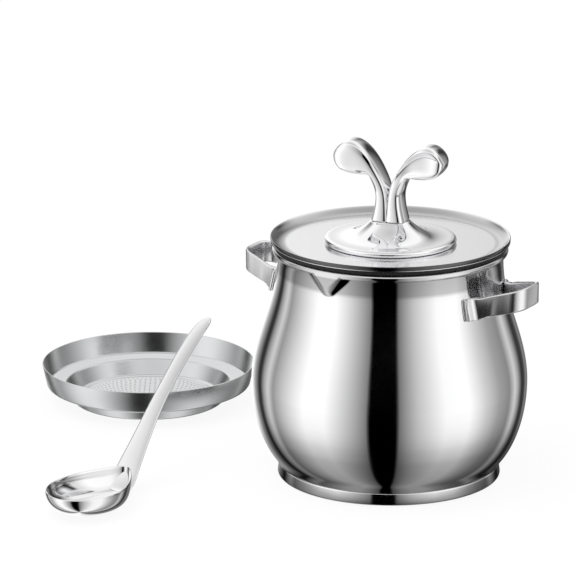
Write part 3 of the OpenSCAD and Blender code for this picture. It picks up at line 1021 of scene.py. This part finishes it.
@dataclass
class Spoon:
    """The soup spoon with a flat-floored bowl. Sizes are in millimetres."""

    bowl_l: float = 62.0
    bowl_w: float = 38.0
    bowl_h: float = 13.0
    floor_l: float = 30.0
    floor_w: float = 15.0
    floor_place: float = 0.62
    taper: float = 0.62
    sheet: float = 1.2
    stem_run: float = 80.0
    stem_rise: float = 70.0
    stem_w: float = 8.5
    stem_t: float = 2.0
    place: Pair = (-99.0, -155.0)
    bowl_sides: int = 48
    stem_sides: int = 16

    def rim_point(self, angle: float, inset: float) -> Vector:
        """A point of the bowl's teardrop rim, seen from above."""
        x = self.bowl_l / 2 - (self.bowl_l / 2 - inset) * math.cos(angle)
        narrowing = 1 - self.taper * (max(x, 0.0) / self.bowl_l) ** 2.2
        return Vector((x, (self.bowl_w / 2 - inset) * math.sin(angle) * narrowing * 1.12))

    def floor_point(self, angle: float, inset: float) -> Vector:
        """A point of the floor's oval, seen from above."""
        x = self.bowl_l * self.floor_place - (self.floor_l / 2 - inset) * math.cos(angle)
        return Vector((x, (self.floor_w / 2 - inset) * math.sin(angle)))

    def bowl_ring(self, share: float, inset: float) -> list[Vector]:
        """Works out the ring of points at one height of the bowl.

        Args:
            share: 0 at the bowl's floor and 1 at its rim.
            inset: how far the ring lies inside the bowl's outer face.

        Returns:
            The points, in metres.
        """
        z = inset + (self.bowl_h - inset) * (1 - math.sqrt(max(0.0, 1 - share**2.4)))
        angles = [FULL_TURN * k / self.bowl_sides for k in range(self.bowl_sides)]
        flat = [self.floor_point(a, inset) * (1 - share) + self.rim_point(a, inset) * share for a in angles]
        return [Vector((spot.x, spot.y, z)) * MM for spot in flat]

    def bowl(self) -> BMesh:
        """Builds the bowl.

        Returns:
            Its closed shell, swept up the outside and down the inside.
        """
        shares = [0.0, 0.15, 0.3, 0.45, 0.58, 0.7, 0.8, 0.88, 0.94, 0.98, 1.0]
        outside = [self.bowl_ring(share, 0.0) for share in shares]
        return swept(outside + [self.bowl_ring(share, self.sheet) for share in shares[::-1]])

    def stem(self) -> BMesh:
        """Builds the handle, from the bowl's floor to its rounded tip.

        Returns:
            Its closed mesh, a flat bar with rounded edges.
        """
        run, rise, bowl = self.stem_run, self.stem_rise, self.bowl_l
        path = [
            (bowl * 0.84, self.sheet * 1.6, 0.9),
            (bowl * 0.93, self.bowl_h * 0.42, 0.85),
            (bowl + 1, self.bowl_h * 0.9, 0.8),
            (bowl + run * 0.15, self.bowl_h + rise * 0.13, 0.62),
            (bowl + run * 0.32, self.bowl_h + rise * 0.32, 0.5),
            (bowl + run * 0.5, rise * 0.665, 0.46),
            (bowl + run * 0.68, rise * 0.815, 0.48),
            (bowl + run * 0.86, rise * 0.935, 0.5),
            (bowl + run * 0.96, rise * 0.985, 0.42),
            (bowl + run, rise, 0.2),
        ]
        rings = []
        for i, (x, z, width) in enumerate(path):
            before, after = path[max(i - 1, 0)], path[min(i + 1, len(path) - 1)]
            across = Vector((after[1] - before[1], 0.0, before[0] - after[0])).normalized()
            ring = []
            for k in range(self.stem_sides):
                up, out = squared_circle(FULL_TURN * k / self.stem_sides, 0.8)
                offset = across * (self.stem_t / 2 * up) + Vector((0, self.stem_w * width * out, 0))
                ring.append((Vector((x, 0.0, z)) + offset) * MM)
            rings.append(ring)
        return swept(rings)

    def build(self) -> None:
        """Builds the spoon as a bowl and a handle. The pot doesn't mirror it, as in the photograph."""
        spot = Matrix.Translation((self.place[0] * MM, self.place[1] * MM, 0))
        spot @= Matrix.Rotation(math.pi / 2, 4, "Z")
        for name, mesh in (("spoon_bowl", self.bowl()), ("spoon_handle", self.stem())):
            bmesh.ops.transform(mesh, matrix=spot, verts=mesh.verts)
            made = piece(name, mesh, SPOON_STEEL, Body.SPOON, "spoon", subdivision=2)
            made.visible_glossy = False


# -------- studio


@dataclass
class Studio:
    """The floor, the soft light, the reflected surround and the camera, in metres and degrees.

    Each stop is a place and a brightness in the steel's reflections. The table's go by distance from the
    pot's axis in millimetres: a painted shadow darkens it under the pot. The compass's go by the angle from
    the camera, positive to its right: a dark gap faces the camera, between two soft boxes, with narrow dark
    flags far round. The ceiling takes over from the compass with height.
    """

    azimuth: float = 30.0
    elevation: float = 15.75
    distance: float = 2.1
    view_width: float = 576 * 0.504 * MM
    aim: tuple[float, float, float] = (-0.0445, -0.0257, 0.0968)
    sensor: float = 36.0
    floor_half: float = 6.0
    floor_drop: float = 0.3 * MM
    floor_glow: float = 0.9
    lamp_size: float = 1.6
    lamp_power: float = 14.0
    lamp_place: tuple[float, float, float] = (-0.5, -0.7, 1.8)
    spread_below: float = 0.18
    mirrored_level: float = 1.25
    # Painted shadow on the table as the steel sees it, darkest at the pot's foot.
    table: Stops = (
        *((56.0, 0.22), (66.0, 0.29), (81.0, 0.385), (89.0, 0.5), (99.0, 0.6)),
        *((110.0, 0.73), (124.0, 0.83), (141.0, 0.9), (180.0, 0.96), (240.0, 1.0)),
    )
    compass: Stops = (
        *((-180, 0.75), (-174, 1.0), (-162, 0.9), (-151, 0.36), (-139, 0.03), (-134, 0.03), (-127, 0.34)),
        *((-120, 0.6), (-112, 0.29), (-92, 0.67), (-75, 1.0), (-55, 1.0), (-35, 0.54), (-19.5, 0.2)),
        *((-17.8, 0.0), (5, 0.0), (7, 0.17), (22, 0.53), (45, 0.96), (66, 1.0), (84, 0.6), (100, 0.34)),
        *((115, 0.235), (125, 0.6), (137, 0.12), (141, 0.03), (149, 0.05), (155, 0.2), (167, 0.12)),
        *((174, 0.5), (180, 0.75)),
    )
    ceiling_share: Stops = ((-90, 0.0), (22, 0.0), (38, 1.0), (90, 1.0))
    ceiling: Stops = ((-90, 0.88), (38, 0.88), (50, 0.86), (64, 0.64), (90, 0.5))

    def camera(self) -> None:
        """Puts the camera at the photograph's viewing angle."""
        data = bpy.data.cameras.new("camera")
        data.sensor_width = self.sensor
        data.lens = self.sensor * self.distance / self.view_width
        data.clip_end = 20.0
        eye = bpy.data.objects.new("camera", data)
        a, e = math.radians(self.azimuth), math.radians(self.elevation)
        towards = Vector((math.sin(a) * math.cos(e), -math.cos(a) * math.cos(e), math.sin(e)))
        eye.location = Vector(self.aim) + towards * self.distance
        eye.rotation_euler = (-towards).to_track_quat("-Z", "Y").to_euler()
        bpy.context.scene.collection.objects.link(eye)
        bpy.context.scene.camera = eye

    def floor(self) -> None:
        """Lays a plain pale floor that keeps the object's shadow, shown in the steel as a table with painted
        shade.
        """
        mesh = bmesh.new()
        bmesh.ops.create_grid(mesh, x_segments=4, y_segments=4, size=self.floor_half)
        bmesh.ops.translate(mesh, verts=mesh.verts, vec=(0, 0, -self.floor_drop))
        data = bpy.data.meshes.new("floor")
        mesh.to_mesh(data)
        mesh.free()
        material = empty_material("pale_floor")
        tree = material.node_tree
        rays = add_node(tree, "LightPath")
        paper = add_node(tree, "BsdfDiffuse", inputs={"Color": linear("#f4f4f4")})
        white = add_node(tree, "Emission", inputs={"Color": WHITE, "Strength": 1.0})
        glow = {0: rays.outputs["Is Camera Ray"], 1: self.floor_glow}
        seen = add_node(tree, "Math", {"operation": "MULTIPLY"}, glow)
        lit = add_node(tree, "MixShader", inputs={0: seen, 1: paper, 2: white})
        place = add_node(tree, "TexCoord").outputs["Object"]
        # Painted shadow: as the steel sees it, the floor darkens towards the pot's foot.
        shade = PaintedShade(Along.RADIUS, self.table).build(tree, place)
        table = add_node(tree, "BsdfTransparent", inputs={"Color": shade})
        chosen = add_node(tree, "MixShader", inputs={0: rays.outputs["Is Glossy Ray"], 1: lit, 2: table})
        add_node(tree, "OutputMaterial", inputs={"Surface": chosen})
        data.materials.append(material)
        ground = bpy.data.objects.new("floor", data)
        bpy.context.scene.collection.objects.link(ground)

    def lamp(self) -> None:
        """Hangs one wide soft lamp over the scene."""
        data = bpy.data.lights.new("soft_lamp", "AREA")
        data.shape = "DISK"
        data.size = self.lamp_size
        data.energy = self.lamp_power
        lamp = bpy.data.objects.new("soft_lamp", data)
        lamp.location = self.lamp_place
        lamp.rotation_euler = (-lamp.location).to_track_quat("-Z", "Y").to_euler()
        lamp.visible_glossy = False
        bpy.context.scene.collection.objects.link(lamp)

    def surround(self) -> None:
        """Paints the studio that the steel reflects: soft boxes, dark gaps and a pale ceiling."""
        world = bpy.data.worlds.new("studio")
        bpy.context.scene.world = world
        world.use_nodes = True
        tree = world.node_tree
        tree.nodes.clear()
        turn = {
            "Vector": add_node(tree, "TexCoord").outputs["Generated"],
            "Angle": math.radians(90 - self.azimuth),
        }
        turned = add_node(tree, "VectorRotate", {"rotation_type": "Z_AXIS"}, turn)
        parts = add_node(tree, "SeparateXYZ", inputs={"Vector": turned}).outputs
        below = add_node(tree, "Math", {"operation": "MINIMUM"}, {0: parts["Z"], 1: 0.0})
        shift = {0: below, 1: -self.spread_below, 2: parts["X"]}
        ahead = add_node(tree, "Math", {"operation": "MULTIPLY_ADD"}, shift)
        angle = add_node(tree, "Math", {"operation": "ARCTAN2"}, {0: parts["Y"], 1: ahead})
        height = add_node(tree, "Math", {"operation": "ARCSINE"}, {0: parts["Z"]})
        levels = {
            0: grey_ramp(tree, height, self.ceiling_share, DEGREE),
            6: grey_ramp(tree, angle, self.compass, DEGREE),
            7: grey_ramp(tree, height, self.ceiling, DEGREE),
        }
        room = {
            "Color": add_node(tree, "Mix", {"data_type": "RGBA"}, levels).outputs[2],
            "Strength": self.mirrored_level,
        }
        choice = {
            0: add_node(tree, "LightPath").outputs["Is Glossy Ray"],
            1: add_node(tree, "Background", inputs={"Color": WHITE, "Strength": 1.0}),
            2: add_node(tree, "Background", inputs=room),
        }
        add_node(tree, "OutputWorld", inputs={"Surface": add_node(tree, "MixShader", inputs=choice)})

    def build(self) -> None:
        """Builds the studio."""
        self.camera()
        self.floor()
        self.lamp()
        self.surround()
        bpy.context.scene.view_settings.view_transform = "Standard"


def main() -> None:
    """Builds the studio and the object."""
    logging.basicConfig(level=logging.INFO, format="%(message)s")
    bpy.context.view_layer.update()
    for builder in (Studio(), Pot(), Lid(), Strainer(), Spoon()):
        LOG.info("building %s", type(builder).__name__)
        builder.build()


if __name__ == "__main__":
    main()
